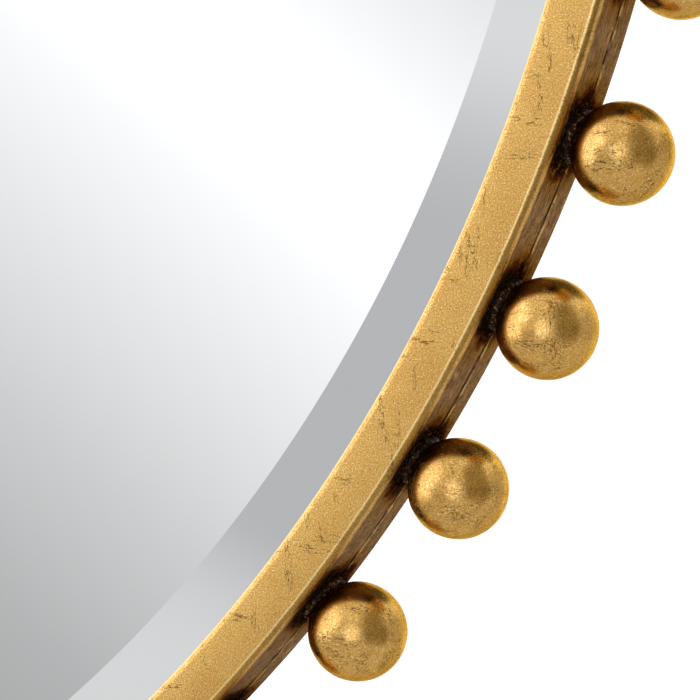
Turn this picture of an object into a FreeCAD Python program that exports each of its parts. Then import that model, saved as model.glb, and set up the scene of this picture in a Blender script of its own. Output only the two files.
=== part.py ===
"""Round wall mirror: bevelled glass in a gilded iron ring with sixty gilt balls welded around it.

Millimetres. X to the right, Z up, the mirror faces -Y, and the wall is on the +Y side.
The origin is the centre of the whole mirror, halfway between the fronts of the balls and the wall.
Depths below are measured backwards from the front face of the ring.
"""
import FreeCAD
import Part
import math
import os

# Ring of square tube that faces the room
RING_OUTER_RADIUS = 527.5
TUBE_WIDTH = 17.0
TUBE_DEPTH = 18.0
TUBE_WALL = 1.5
TUBE_FRONT_EDGE_RADIUS = 2.5
TUBE_REAR_EDGE_RADIUS = 1.0

# Flat bar band that is welded behind the tube and closes in the glass
BAND_THICKNESS = 4.0
BAND_DEPTH = 12.0
BAND_EDGE_CHAMFER = 0.7
TACK_COUNT = 12
TACK_LENGTH = 14.0
TACK_LEG = 1.4

# Balls and the weld beads that hold them
BALL_COUNT = 60
BALLS_PER_ROW = 5
BALL_DIAMETER = 31.0
BALL_WALL = 1.5
BALL_GAP = 0.5
BEAD_FOOT_RADIUS = 7.5
BEAD_SLOPE_DEG = 45.0

# Bevelled mirror glass and the layers behind it
GLASS_THICKNESS = 5.0
GLASS_EDGE_GAP = 3.0
BEVEL_WIDTH = 32.0
BEVEL_EDGE_THICKNESS = 2.2
GASKET_FRONT_GAP = 1.0
GASKET_WIDTH = 7.0
GASKET_INSET = 1.5
SILVER_THICKNESS = 0.3
SILVER_EDGE_INSET = 1.5
FOAM_THICKNESS = 1.7
FOAM_EDGE_INSET = 4.0
BOARD_EDGE_GAP = 1.5

# Welded tabs that hold the backing board, and their screws
TAB_COUNT = 8
TAB_WIDTH = 18.0
TAB_LENGTH = 27.0
TAB_THICKNESS = 2.0
TAB_CORNER_RADIUS = 3.0
TAB_EDGE_INSET = 2.0
TAB_SCREW_INSET = 8.0
SCREW_RADIUS = 1.75
SCREW_HOLE_CLEARANCE = 0.2
SCREW_BITE = 3.0
SCREW_HEAD_RADIUS = 3.5
SCREW_HEAD_HEIGHT = 2.0
RECESS_LENGTH = 4.2
RECESS_WIDTH = 0.9
RECESS_DEPTH = 1.2

# Two hangers: a welded plate, a folded strap, rivets and a D-shaped ring
HANGER_ANGLE_DEG = 55.0
HANGER_PLATE_WIDTH = 34.0
HANGER_PLATE_LENGTH = 88.0
HANGER_PLATE_THICKNESS = 2.5
HANGER_PLATE_CORNER_RADIUS = 4.0
PIVOT_DROP = 42.0
STRAP_WIDTH = 15.0
STRAP_THICKNESS = 1.2
STRAP_LENGTH = 31.0
STRAP_END_RADIUS = 4.0
RIVET_DROPS = (9.5, 24.5)
RIVET_RADIUS = 1.5
RIVET_HEAD_RADIUS = 3.0
RIVET_HEAD_HEIGHT = 1.5
RIVET_TIP_GAP = 0.3
D_WIRE_DIAMETER = 3.0
D_INNER_WIDTH = 19.0
D_LEG = 4.0
D_CORNER_RADIUS = 3.0
D_RUNNING_GAP = 0.3

# Rubber pads that stand the mirror off the wall
BUMPER_COUNT = 4
BUMPER_RADIUS = 8.0
BUMPER_HEIGHT = 9.0
BUMPER_EDGE_RADIUS = 1.5
BUMPER_INSET = 28.0

# Depths and radii that follow from the sizes above
RING_INNER_RADIUS = RING_OUTER_RADIUS - TUBE_WIDTH
BAND_INNER_RADIUS = RING_OUTER_RADIUS - BAND_THICKNESS
FRAME_DEPTH = TUBE_DEPTH + BAND_DEPTH
WALL_DEPTH = FRAME_DEPTH + BUMPER_HEIGHT
GLASS_RADIUS = BAND_INNER_RADIUS - GLASS_EDGE_GAP
GLASS_FRONT = TUBE_DEPTH + GASKET_FRONT_GAP
GLASS_BACK = GLASS_FRONT + GLASS_THICKNESS
SILVER_BACK = GLASS_BACK + SILVER_THICKNESS
FOAM_BACK = SILVER_BACK + FOAM_THICKNESS
BALL_RADIUS = BALL_DIAMETER / 2
BALL_CIRCLE_RADIUS = RING_OUTER_RADIUS + BALL_GAP + BALL_RADIUS
BALL_DEPTH = FRAME_DEPTH / 2
FRONT_REACH = max(BALL_RADIUS - BALL_DEPTH, 0)
BALL_STEP_DEG = 360.0 / BALL_COUNT
TAB_OUTER_RADIUS = RING_OUTER_RADIUS - TAB_EDGE_INSET
TAB_SCREW_CIRCLE = TAB_OUTER_RADIUS - TAB_LENGTH + TAB_SCREW_INSET
HANGER_PLATE_BACK = FRAME_DEPTH + HANGER_PLATE_THICKNESS
HANGER_OFFSET = TAB_OUTER_RADIUS * math.cos(math.radians(HANGER_ANGLE_DEG))
HANGER_TOP = TAB_OUTER_RADIUS * math.sin(math.radians(HANGER_ANGLE_DEG))
PIVOT_HEIGHT = HANGER_TOP - PIVOT_DROP
WIRE_RADIUS = D_WIRE_DIAMETER / 2
EYE_INNER_RADIUS = WIRE_RADIUS + D_RUNNING_GAP
EYE_OUTER_RADIUS = EYE_INNER_RADIUS + STRAP_THICKNESS
PIVOT_DEPTH = HANGER_PLATE_BACK + EYE_OUTER_RADIUS

MIRROR_AXIS = FreeCAD.Vector(0, 1, 0)
CENTRE = FreeCAD.Vector(0, 0, 0)


def y_at(depth):
    """Return the Y coordinate of a depth behind the ring's front face."""
    return depth - (WALL_DEPTH - FRONT_REACH) / 2


def section_point(radius, depth):
    """Return a point of a turned section, in the plane through the axis and +X."""
    return FreeCAD.Vector(radius, y_at(depth), 0)


def turned(section, angle=360.0):
    """Turn a section about the mirror's axis."""
    return section.revolve(CENTRE, MIRROR_AXIS, angle)


def polygon_face(points):
    """Return a flat face with straight sides through the points."""
    return Part.Face(Part.makePolygon(points + points[:1]))


def rounded_section(inner, outer, front, back, front_round, back_round):
    """Return the wire of a rectangle whose four corners are rounded, as radius against depth."""
    corners = [
        (inner, front, front_round, 1, 1),
        (outer, front, front_round, -1, 1),
        (outer, back, back_round, -1, -1),
        (inner, back, back_round, 1, -1),
    ]
    edges = []
    ends = []
    for index, (radius, depth, rounding, inwards, backwards) in enumerate(corners):
        along_radius = section_point(radius + inwards * rounding, depth)
        along_depth = section_point(radius, depth + backwards * rounding)
        near = 1 - math.sqrt(0.5)
        middle = section_point(radius + inwards * rounding * near, depth + backwards * rounding * near)
        first, last = (along_depth, along_radius) if index % 2 == 0 else (along_radius, along_depth)
        edges.append(Part.Arc(first, middle, last).toShape())
        ends.append((first, last))
    for index in range(len(ends)):
        edges.append(Part.LineSegment(ends[index][1], ends[(index + 1) % len(ends)][0]).toShape())
    return Part.Wire(Part.__sortEdges__(edges))


def around(shape, angle_deg):
    """Return a copy of a shape that lies at the +X side, turned up to another clock angle."""
    copy = shape.copy()
    copy.rotate(CENTRE, MIRROR_AXIS, -angle_deg)
    return copy


def group(shapes):
    """Return separate solids as one compound."""
    return Part.makeCompound(shapes)


def front_frame_ring():
    """Square tube rolled into a ring, with soft front edges."""
    outline = rounded_section(
        RING_INNER_RADIUS, RING_OUTER_RADIUS, 0, TUBE_DEPTH, TUBE_FRONT_EDGE_RADIUS, TUBE_REAR_EDGE_RADIUS
    )
    hollow = rounded_section(
        RING_INNER_RADIUS + TUBE_WALL,
        RING_OUTER_RADIUS - TUBE_WALL,
        TUBE_WALL,
        TUBE_DEPTH - TUBE_WALL,
        max(TUBE_FRONT_EDGE_RADIUS - TUBE_WALL, TUBE_WALL / 3),
        TUBE_WALL / 3,
    )
    solid = turned(Part.Face(outline))
    return solid.cut(turned(Part.Face(hollow)))


def rear_frame_band():
    """Flat bar rolled on edge, flush with the outside of the tube."""
    front = TUBE_DEPTH
    back = FRAME_DEPTH
    points = [
        section_point(BAND_INNER_RADIUS, front),
        section_point(RING_OUTER_RADIUS - BAND_EDGE_CHAMFER, front),
        section_point(RING_OUTER_RADIUS, front + BAND_EDGE_CHAMFER),
        section_point(RING_OUTER_RADIUS, back - BAND_EDGE_CHAMFER),
        section_point(RING_OUTER_RADIUS - BAND_EDGE_CHAMFER, back),
        section_point(BAND_INNER_RADIUS, back),
    ]
    return turned(polygon_face(points))


def ring_tack_welds():
    """Short fillets in the inner corner between tube and band."""
    points = [
        section_point(BAND_INNER_RADIUS, TUBE_DEPTH),
        section_point(BAND_INNER_RADIUS, TUBE_DEPTH + TACK_LEG),
        section_point(BAND_INNER_RADIUS - TACK_LEG, TUBE_DEPTH),
    ]
    sweep = math.degrees(TACK_LENGTH / BAND_INNER_RADIUS)
    tack = turned(polygon_face(points), sweep)
    return group([around(tack, index * 360.0 / TACK_COUNT) for index in range(TACK_COUNT)])


def ball_centre():
    """Return the centre of a ball at the +X side."""
    return section_point(BALL_CIRCLE_RADIUS, BALL_DEPTH)


def ball():
    """One hollow iron ball at the +X side."""
    outside = Part.makeSphere(BALL_RADIUS, ball_centre())
    return outside.cut(Part.makeSphere(BALL_RADIUS - BALL_WALL, ball_centre()))


def ball_weld():
    """Sloping bead that fills the gap between a ball and the outside of the ring."""
    inside_ring = math.sqrt(RING_OUTER_RADIUS ** 2 - BEAD_FOOT_RADIUS ** 2)
    height = RING_OUTER_RADIUS + BEAD_FOOT_RADIUS - inside_ring
    tip_radius = BEAD_FOOT_RADIUS - height * math.tan(math.radians(BEAD_SLOPE_DEG)) / 2
    foot = section_point(inside_ring, BALL_DEPTH)
    bead = Part.makeCone(BEAD_FOOT_RADIUS, tip_radius, height / 2, foot, FreeCAD.Vector(1, 0, 0))
    bead = bead.cut(Part.makeSphere(BALL_RADIUS, ball_centre()))
    ring_body = Part.makeCylinder(
        RING_OUTER_RADIUS, FRAME_DEPTH, FreeCAD.Vector(0, y_at(0), 0), MIRROR_AXIS
    )
    return bead.cut(ring_body)


def row_angles(row):
    """Return the clock angles of the balls in one row, the gap between two balls being at the +X side."""
    first = row * BALLS_PER_ROW
    return [(first + index + 0.5) * BALL_STEP_DEG for index in range(BALLS_PER_ROW)]


def bevel_depth(radius):
    """Return the depth of the glass's bevelled face at a radius."""
    slope = (GLASS_THICKNESS - BEVEL_EDGE_THICKNESS) / BEVEL_WIDTH
    return GLASS_FRONT + (radius - (GLASS_RADIUS - BEVEL_WIDTH)) * slope


def mirror_glass():
    """Round plate glass with a wide bevel that thins it towards the edge."""
    points = [
        section_point(0, GLASS_FRONT),
        section_point(GLASS_RADIUS - BEVEL_WIDTH, GLASS_FRONT),
        section_point(GLASS_RADIUS, bevel_depth(GLASS_RADIUS)),
        section_point(GLASS_RADIUS, GLASS_BACK),
        section_point(0, GLASS_BACK),
    ]
    return turned(polygon_face(points))


def glazing_gasket():
    """Foam strip between the back of the tube and the bevel, wedge-shaped to lie on both."""
    inner = RING_INNER_RADIUS + GASKET_INSET
    outer = inner + GASKET_WIDTH
    points = [
        section_point(inner, TUBE_DEPTH),
        section_point(outer, TUBE_DEPTH),
        section_point(outer, bevel_depth(outer)),
        section_point(inner, bevel_depth(inner)),
    ]
    return turned(polygon_face(points))


def disc(radius, front, back):
    """Return a flat round plate between two depths."""
    return Part.makeCylinder(radius, back - front, FreeCAD.Vector(0, y_at(front), 0), MIRROR_AXIS)


def silver_layer():
    """Silvering and its paint on the back of the glass."""
    return disc(GLASS_RADIUS - SILVER_EDGE_INSET, GLASS_BACK, SILVER_BACK)


def foam_sheet():
    """Thin foam between the silvering and the board."""
    return disc(GLASS_RADIUS - FOAM_EDGE_INSET, SILVER_BACK, FOAM_BACK)


def tab_angles():
    """Return the clock angles of the tabs, half a step off the +X side."""
    step = 360.0 / TAB_COUNT
    return [(index + 0.5) * step for index in range(TAB_COUNT)]


def drill(radius, centre_radius, front, back):
    """Return a cylinder along Y at the +X side, for a hole or a shank between two depths."""
    return Part.makeCylinder(radius, back - front, section_point(centre_radius, front), MIRROR_AXIS)


def backing_board():
    """Fibreboard back, flush with the rear edge of the band, with a pilot hole for each screw."""
    board = disc(BAND_INNER_RADIUS - BOARD_EDGE_GAP, FOAM_BACK, FRAME_DEPTH)
    pilot = drill(SCREW_RADIUS, TAB_SCREW_CIRCLE, FRAME_DEPTH - SCREW_BITE, FRAME_DEPTH)
    for angle in tab_angles():
        board = board.cut(around(pilot, angle))
    return board


def rear_plate(low_x, high_x, low_z, high_z, front, thickness, rounding):
    """Return a flat plate parallel to the wall, with rounded corners."""
    origin = FreeCAD.Vector(low_x, y_at(front), low_z)
    plate = Part.makeBox(high_x - low_x, thickness, high_z - low_z, origin)
    upright = [edge for edge in plate.Edges if abs(edge.tangentAt(edge.FirstParameter).y) > 0.99]
    return plate.makeFillet(rounding, upright)


def retaining_tab():
    """One tab at the +X side: it stands on the band's rear edge and reaches over the board."""
    inner = TAB_OUTER_RADIUS - TAB_LENGTH
    reach = TAB_OUTER_RADIUS + TAB_CORNER_RADIUS
    half = TAB_WIDTH / 2
    plate = rear_plate(inner, reach, -half, half, FRAME_DEPTH, TAB_THICKNESS, TAB_CORNER_RADIUS)
    plate = plate.common(disc(TAB_OUTER_RADIUS, FRAME_DEPTH, FRAME_DEPTH + TAB_THICKNESS))
    hole_radius = SCREW_RADIUS + SCREW_HOLE_CLEARANCE
    return plate.cut(drill(hole_radius, TAB_SCREW_CIRCLE, FRAME_DEPTH, FRAME_DEPTH + TAB_THICKNESS))


def rim_fillet(thickness, length):
    """Return a weld fillet on the band's rear edge, centred at the +X side, along a plate's end."""
    points = [
        section_point(TAB_OUTER_RADIUS, FRAME_DEPTH),
        section_point(RING_OUTER_RADIUS - BAND_EDGE_CHAMFER, FRAME_DEPTH),
        section_point(TAB_OUTER_RADIUS, FRAME_DEPTH + thickness * 0.9),
    ]
    sweep = math.degrees(length / TAB_OUTER_RADIUS)
    return around(turned(polygon_face(points), sweep), sweep / 2)


def tab_screw():
    """Pan head screw with a cross recess, driven through a tab into the board."""
    head_front = FRAME_DEPTH + TAB_THICKNESS
    head_back = head_front + SCREW_HEAD_HEIGHT
    head = drill(SCREW_HEAD_RADIUS, TAB_SCREW_CIRCLE, head_front, head_back)
    rim = [edge for edge in head.Edges if abs(edge.CenterOfMass.y - y_at(head_back)) < 0.01]
    head = head.makeFillet(SCREW_HEAD_HEIGHT * 0.45, rim)
    screw = head.fuse(drill(SCREW_RADIUS, TAB_SCREW_CIRCLE, FRAME_DEPTH - SCREW_BITE, head_front))
    for length_x, length_z in ((RECESS_LENGTH, RECESS_WIDTH), (RECESS_WIDTH, RECESS_LENGTH)):
        corner = section_point(TAB_SCREW_CIRCLE - length_x / 2, head_back - RECESS_DEPTH)
        corner.z = -length_z / 2
        screw = screw.cut(Part.makeBox(length_x, RECESS_DEPTH, length_z, corner))
    return screw.removeSplitter()


def hanger_plate(side):
    """Welded plate that carries one hanger; side is -1 at the left and 1 at the right."""
    centre = side * HANGER_OFFSET
    half = HANGER_PLATE_WIDTH / 2
    top = HANGER_TOP + HANGER_PLATE_WIDTH
    bottom = HANGER_TOP - HANGER_PLATE_LENGTH
    plate = rear_plate(
        centre - half,
        centre + half,
        bottom,
        top,
        FRAME_DEPTH,
        HANGER_PLATE_THICKNESS,
        HANGER_PLATE_CORNER_RADIUS,
    )
    plate = plate.common(disc(TAB_OUTER_RADIUS, FRAME_DEPTH, HANGER_PLATE_BACK))
    for drop in RIVET_DROPS:
        plate = plate.cut(rivet_rod(side, drop, RIVET_RADIUS, FRAME_DEPTH, HANGER_PLATE_BACK))
    return plate


def hanger_plate_welds():
    """Weld fillets along the curved upper ends of the two plates."""
    beads = []
    for angle in (HANGER_ANGLE_DEG, 180 - HANGER_ANGLE_DEG):
        beads.append(around(rim_fillet(HANGER_PLATE_THICKNESS, HANGER_PLATE_WIDTH), angle))
    return group(beads)


def rivet_rod(side, drop, radius, front, back):
    """Return a cylinder along Y at a drop below one pivot."""
    base = FreeCAD.Vector(side * HANGER_OFFSET, y_at(front), PIVOT_HEIGHT - drop)
    return Part.makeCylinder(radius, back - front, base, MIRROR_AXIS)


def hanger_strap(side):
    """Strap that is folded round the straight bar of the D and lies flat below it."""
    half = STRAP_WIDTH / 2
    centre = side * HANGER_OFFSET
    start = FreeCAD.Vector(centre - half, y_at(PIVOT_DEPTH), PIVOT_HEIGHT)
    along = FreeCAD.Vector(1, 0, 0)
    eye = Part.makeCylinder(EYE_OUTER_RADIUS, STRAP_WIDTH, start, along)
    flat = rear_plate(
        centre - half,
        centre + half,
        PIVOT_HEIGHT - STRAP_LENGTH,
        PIVOT_HEIGHT + STRAP_END_RADIUS,
        HANGER_PLATE_BACK,
        STRAP_THICKNESS,
        STRAP_END_RADIUS,
    )
    corner = FreeCAD.Vector(centre - half, y_at(HANGER_PLATE_BACK), PIVOT_HEIGHT)
    above = Part.makeBox(STRAP_WIDTH, 2 * STRAP_THICKNESS, 2 * STRAP_END_RADIUS, corner)
    strap = eye.fuse(flat.cut(above))
    strap = strap.cut(Part.makeCylinder(EYE_INNER_RADIUS, STRAP_WIDTH, start, along))
    for drop in RIVET_DROPS:
        hole = rivet_rod(side, drop, RIVET_RADIUS, HANGER_PLATE_BACK, HANGER_PLATE_BACK + STRAP_THICKNESS)
        strap = strap.cut(hole)
    return strap.removeSplitter()


def hanger_rivets():
    """Two dome-headed rivets through each strap and its plate."""
    rivets = []
    head_front = HANGER_PLATE_BACK + STRAP_THICKNESS
    head_back = head_front + RIVET_HEAD_HEIGHT
    dome_radius = (RIVET_HEAD_RADIUS ** 2 + RIVET_HEAD_HEIGHT ** 2) / (2 * RIVET_HEAD_HEIGHT)
    for side in (-1, 1):
        for drop in RIVET_DROPS:
            centre = FreeCAD.Vector(
                side * HANGER_OFFSET, y_at(head_back - dome_radius), PIVOT_HEIGHT - drop
            )
            dome = Part.makeSphere(dome_radius, centre)
            dome = dome.common(rivet_rod(side, drop, RIVET_HEAD_RADIUS, head_front, head_back))
            shank = rivet_rod(side, drop, RIVET_RADIUS, FRAME_DEPTH + RIVET_TIP_GAP, head_front)
            rivets.append(dome.fuse(shank).removeSplitter())
    return group(rivets)


def d_ring(side):
    """Closed wire D that hangs from its straight bar and swings up to take a hook."""
    half = D_INNER_WIDTH / 2 + WIRE_RADIUS
    centre = side * HANGER_OFFSET
    bend = D_CORNER_RADIUS * (1 - math.sqrt(0.5))
    leg_end = -D_CORNER_RADIUS - D_LEG

    def at(x, z):
        return FreeCAD.Vector(centre + x, y_at(PIVOT_DEPTH), PIVOT_HEIGHT + z)

    edges = [
        Part.LineSegment(at(0, 0), at(half - D_CORNER_RADIUS, 0)),
        Part.Arc(at(half - D_CORNER_RADIUS, 0), at(half - bend, -bend), at(half, -D_CORNER_RADIUS)),
        Part.LineSegment(at(half, -D_CORNER_RADIUS), at(half, leg_end)),
        Part.Arc(at(half, leg_end), at(0, leg_end - half), at(-half, leg_end)),
        Part.LineSegment(at(-half, leg_end), at(-half, -D_CORNER_RADIUS)),
        Part.Arc(at(-half, -D_CORNER_RADIUS), at(bend - half, -bend), at(D_CORNER_RADIUS - half, 0)),
        Part.LineSegment(at(D_CORNER_RADIUS - half, 0), at(0, 0)),
    ]
    path = Part.Wire([edge.toShape() for edge in edges])
    section = Part.Wire([Part.Circle(at(0, 0), FreeCAD.Vector(1, 0, 0), WIRE_RADIUS).toShape()])
    return path.makePipeShell([section], True, False)


def wall_bumpers():
    """Rubber pads on the board that touch the wall."""
    circle = BAND_INNER_RADIUS - BUMPER_INSET
    pad = drill(BUMPER_RADIUS, circle, FRAME_DEPTH, WALL_DEPTH)
    rim = [edge for edge in pad.Edges if abs(edge.CenterOfMass.y - y_at(WALL_DEPTH)) < 0.01]
    pad = pad.makeFillet(BUMPER_EDGE_RADIUS, rim)
    step = 360.0 / BUMPER_COUNT
    return group([around(pad, (index + 0.5) * step) for index in range(BUMPER_COUNT)])


def all_nodes():
    """Return every node's name with its shape."""
    nodes = {
        "front_frame_ring": front_frame_ring(),
        "rear_frame_band": rear_frame_band(),
        "ring_tack_welds": ring_tack_welds(),
        "glazing_gasket": glazing_gasket(),
        "mirror_glass": mirror_glass(),
        "silver_layer": silver_layer(),
        "foam_sheet": foam_sheet(),
        "backing_board": backing_board(),
        "retaining_tabs": group([around(retaining_tab(), angle) for angle in tab_angles()]),
        "tab_welds": group([around(rim_fillet(TAB_THICKNESS, TAB_WIDTH), angle) for angle in tab_angles()]),
        "tab_screws": group([around(tab_screw(), angle) for angle in tab_angles()]),
        "hanger_plate_welds": hanger_plate_welds(),
        "hanger_rivets": hanger_rivets(),
        "wall_bumpers": wall_bumpers(),
    }
    for name, side in (("left", -1), ("right", 1)):
        nodes["hanger_plate_" + name] = hanger_plate(side)
        nodes["hanger_strap_" + name] = hanger_strap(side)
        nodes["d_ring_" + name] = d_ring(side)
    one_ball = ball()
    one_weld = ball_weld()
    for row in range(BALL_COUNT // BALLS_PER_ROW):
        number = "%02d" % (row + 1)
        nodes["ball_row_" + number] = group([around(one_ball, angle) for angle in row_angles(row)])
        nodes["ball_welds_" + number] = group([around(one_weld, angle) for angle in row_angles(row)])
    return nodes


def main():
    """Write one STEP file for each node."""
    os.makedirs("parts", exist_ok=True)
    for name, shape in all_nodes().items():
        shape.exportStep("parts/" + name + ".step")
        print(name, len(shape.Solids), "solids", round(shape.Volume / 1000, 2), "cm3", shape.isValid())


main()
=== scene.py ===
"""Looks of a round wall mirror: bevelled glass in a gold-leafed iron ring with sixty gilt balls around it.

Metres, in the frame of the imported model: X to the right, Z up, the mirror faces -Y and the wall is at +Y.
"""
import math

import bpy
from mathutils import Matrix, Vector


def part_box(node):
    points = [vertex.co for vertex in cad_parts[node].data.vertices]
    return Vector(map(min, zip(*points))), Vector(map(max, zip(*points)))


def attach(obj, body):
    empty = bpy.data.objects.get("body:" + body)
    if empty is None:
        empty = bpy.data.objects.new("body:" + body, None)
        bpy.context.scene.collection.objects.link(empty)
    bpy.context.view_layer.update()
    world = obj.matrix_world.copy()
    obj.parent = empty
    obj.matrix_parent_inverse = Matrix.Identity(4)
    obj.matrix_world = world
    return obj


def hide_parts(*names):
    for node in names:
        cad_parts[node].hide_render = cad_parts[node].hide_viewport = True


bl_info = {
    "name": "Gilt ball mirror",
    "version": (1, 0, 0),
    "blender": (4, 5, 0),
    "location": "3D View > Sidebar > Mirror",
    "description": "Builds the surfaces of a round wall mirror with gilt balls over its construction",
    "category": "Object",
}

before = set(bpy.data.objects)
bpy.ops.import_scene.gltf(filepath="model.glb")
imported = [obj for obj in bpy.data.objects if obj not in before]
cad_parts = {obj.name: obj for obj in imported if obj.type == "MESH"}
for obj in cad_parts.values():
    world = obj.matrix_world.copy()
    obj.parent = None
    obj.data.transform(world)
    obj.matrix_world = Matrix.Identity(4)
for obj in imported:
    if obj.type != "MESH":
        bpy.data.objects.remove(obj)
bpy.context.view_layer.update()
MM = 0.001


def node_low(name):
    """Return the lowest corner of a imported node."""
    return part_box(name)[0]


def node_high(name):
    """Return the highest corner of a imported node."""
    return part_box(name)[1]


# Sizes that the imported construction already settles
RING_OUTER = node_high("front_frame_ring")[0]
RING_FRONT = node_low("front_frame_ring")[1]
TUBE_BACK = node_high("front_frame_ring")[1]
BAND_BACK = node_high("rear_frame_band")[1]
GLASS_OUTER = node_high("mirror_glass")[0]
GLASS_FRONT = node_low("mirror_glass")[1]
GLASS_BACK = node_high("mirror_glass")[1]
BALL_LOW_Y = node_low("ball_row_01")[1]
BALL_HIGH_Y = node_high("ball_row_01")[1]
BALL_RADIUS = (BALL_HIGH_Y - BALL_LOW_Y) / 2
BALL_Y = (BALL_HIGH_Y + BALL_LOW_Y) / 2
ROWS = 12
BALLS_IN_ROW = 5
BALL_STEP = math.radians(360 / (ROWS * BALLS_IN_ROW))
BALL_CIRCLE = (node_high("ball_row_01")[0] - BALL_RADIUS) / math.cos(BALL_STEP / 2)
# Turn in radians that each ball and weld gets beyond the one before it, so that no two neighbours look alike
OWN_TURN = 2.4
# Share of a weld bead's own radius by which its middle stands out of the ring
WELD_STAND_OUT = 0.45
MIRROR_BODY = "mirror"
# Distances in metres under which two places count as one, and vertices are merged
TOUCHING = 1e-6
MERGED = 0.005 * MM


def linear(hex_colour):
    """Turn an sRGB hex colour into linear red, green, blue and alpha."""
    values = [int(hex_colour[i:i + 2], 16) / 255 for i in (1, 3, 5)]
    return tuple(v / 12.92 if v <= 0.04045 else ((v + 0.055) / 1.055) ** 2.4 for v in values) + (1.0,)


# Tones that go with the colours of the settings, and aren't worth a setting of their own
LEAF_GROUND = linear("#8A5A20")
LEAF_GLINT = linear("#FFE6A8")
CRACK_BROWN = linear("#3A240F")
UMBER_STREAK = linear("#A3846A")
UMBER_WARM = linear("#7A4A16")
# Painted highlight on the flat bar's edge beside the seam
RIDGE_HIGHLIGHT_GOLD = linear("#E9C47C")
CRUST_GOLD = linear("#B98449")
# Painted shade and painted highlight on the rounded edges of the ring's front face
EDGE_SHADE_OLIVE = linear("#86652C")
EDGE_HIGHLIGHT_PALE = linear("#FFE4A4")
WELD_CREST = linear("#A87E48")
SILVER_CAST = linear("#F1F3F4")
PAINT_DARK = linear("#6E7174")
PAINT_LIGHT = linear("#7C7F82")
FIBRE_LIGHT = linear("#8A6546")
FIBRE_CLOUD = linear("#553A26")
BRONZE_STREAK = linear("#4A3626")
BRONZE_RUBBED = linear("#8A6A3E")
ZINC_CLOUD = linear("#96938A")
RUBBER_PORE = linear("#2A2A2A")
STUDIO_PAPER = linear("#F2F2F2")

# Tints that the metals take at grazing angles
LEAF_TINT = linear("#FFF0D0")
UMBER_TINT = linear("#E0C29A")
BALL_TINT = linear("#F3D49A")
SOILED_TINT = linear("#2A1B0E")

# How worn the leaf is, from little at 0 to much at 1
RING_WEAR = 0.15
BALL_WEAR = 0.4

# Radii and depths between which a tone grows from nothing to full: the ring's wash, the painted shade and
# reflection of the ring on the balls, and the patina at the balls' feet
WASH_RADII = (RING_OUTER - 1.2 * MM, RING_OUTER - 0.3 * MM)
WASH_DEPTHS = (RING_FRONT + 1.8 * MM, RING_FRONT + 4.2 * MM)
SHADE_AMBER_RADII = (RING_OUTER + 13.0 * MM, RING_OUTER + 2.5 * MM)
SOOT_RADII = (RING_OUTER + 4.5 * MM, RING_OUTER + 1.0 * MM)

# Distances from a ball's foot between which a tone grows from nothing to full
WARM_REACH = (25 * MM, 13 * MM)
DARK_REACH = (18.0 * MM, 10.0 * MM)
CRUST_REACH = (24 * MM, 14 * MM)

# Where the lines of painted highlight and the band of painted shade on the front face's rounded edges lie,
# from its outer edge and from its inner one
OUTER_LINE = 1.9 * MM
OLIVE_LINE = 0.9 * MM
INNER_LINE = 0.7 * MM


def length(name, default_mm, description):
    """Declare a length property that is given in millimetres."""
    return bpy.props.FloatProperty(name=name, description=description, default=default_mm * MM, unit="LENGTH")


def count(name, default, least, description):
    """Declare a whole number of faces."""
    return bpy.props.IntProperty(name=name, description=description, default=default, min=least)


def colour(name, hex_colour, description):
    """Declare a colour property that is given as sRGB hex."""
    return bpy.props.FloatVectorProperty(
        name=name, description=description, subtype="COLOR", size=4, min=0, max=1, default=linear(hex_colour)
    )


class RingSizes(bpy.types.PropertyGroup):
    """Sizes of the ring's drawn surface."""

    tube_width: length("Tube width", 17.0, "Width of the flat face that shows from the front")
    front_rounding: length("Front rounding", 2.5, "Radius of the tube's two front edges")
    rear_rounding: length("Rear rounding", 1.0, "Radius of the tube's two rear edges")
    band_thickness: length("Band thickness", 4.0, "Thickness of the flat bar behind the tube")
    band_chamfer: length("Band chamfer", 0.7, "Bevel on the outer edges of the flat bar")
    turn_steps: count("Turn steps", 720, 60, "Faces around the ring and the glass")


class BallSizes(bpy.types.PropertyGroup):
    """Sizes of the drawn balls and of the weld around each one."""

    rings: count("Rings", 34, 8, "Faces from pole to pole of a ball")
    segments: count("Segments", 64, 12, "Faces around a ball")
    leaf_unevenness: length("Leaf unevenness", 0.12, "How far the laid leaf stands in and out")
    weld_turn: count("Weld turn", 40, 12, "Faces around a ball's foot")
    weld_round: count("Weld round", 14, 6, "Faces around the weld's own bead")
    weld_radius: length("Weld radius", 6.4, "Radius of the ring of weld at a ball's foot")
    weld_thickness: length("Weld thickness", 1.9, "Radius of the weld's own bead")
    weld_roughness: length("Weld roughness", 3.0, "How far the weld's surface stands in and out")


class GlassSizes(bpy.types.PropertyGroup):
    """Sizes of the drawn glass."""

    bevel_width: length("Bevel width", 32.0, "Width of the bevelled band at the glass's edge")
    edge_thickness: length("Edge thickness", 2.2, "Glass left at the outer edge of the bevel")
    arris: length("Arris", 0.3, "Small flat ground on the glass's edges")
    film_gap: length("Film gap", 0.04, "Distance drawn between the glass and its silver")


class FinishColours(bpy.types.PropertyGroup):
    """Colours of the finishes."""

    leaf: colour("Leaf", "#DCAB58", "Gold leaf where it lies clean")
    leaf_deep: colour("Leaf, deep", "#CC9546", "Gold leaf under a warm toned varnish")
    # Painted shade and painted reflection of the ring, laid on the side of every ball that faces it
    shade_amber: colour("Amber wash", "#875319", "Varnish that has gathered beside the welds")
    umber: colour("Umber wash", "#72594B", "Brown wash on the outside of the ring")
    soot: colour("Dark patina", "#241509", "Patina in the cracks and at the welds")
    silver: colour("Silver", "#FAFBFC", "Silvering behind the glass")
    board: colour("Board", "#6B4A30", "Fibreboard back")
    bronze: colour("Bronze paint", "#3A2A1E", "Paint on the welded plates and tabs")
    zinc: colour("Zinc", "#C9C6BC", "Plating on straps, rings and screws")
    rubber: colour("Rubber", "#1A1A1A", "Wall pads and foam")


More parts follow.
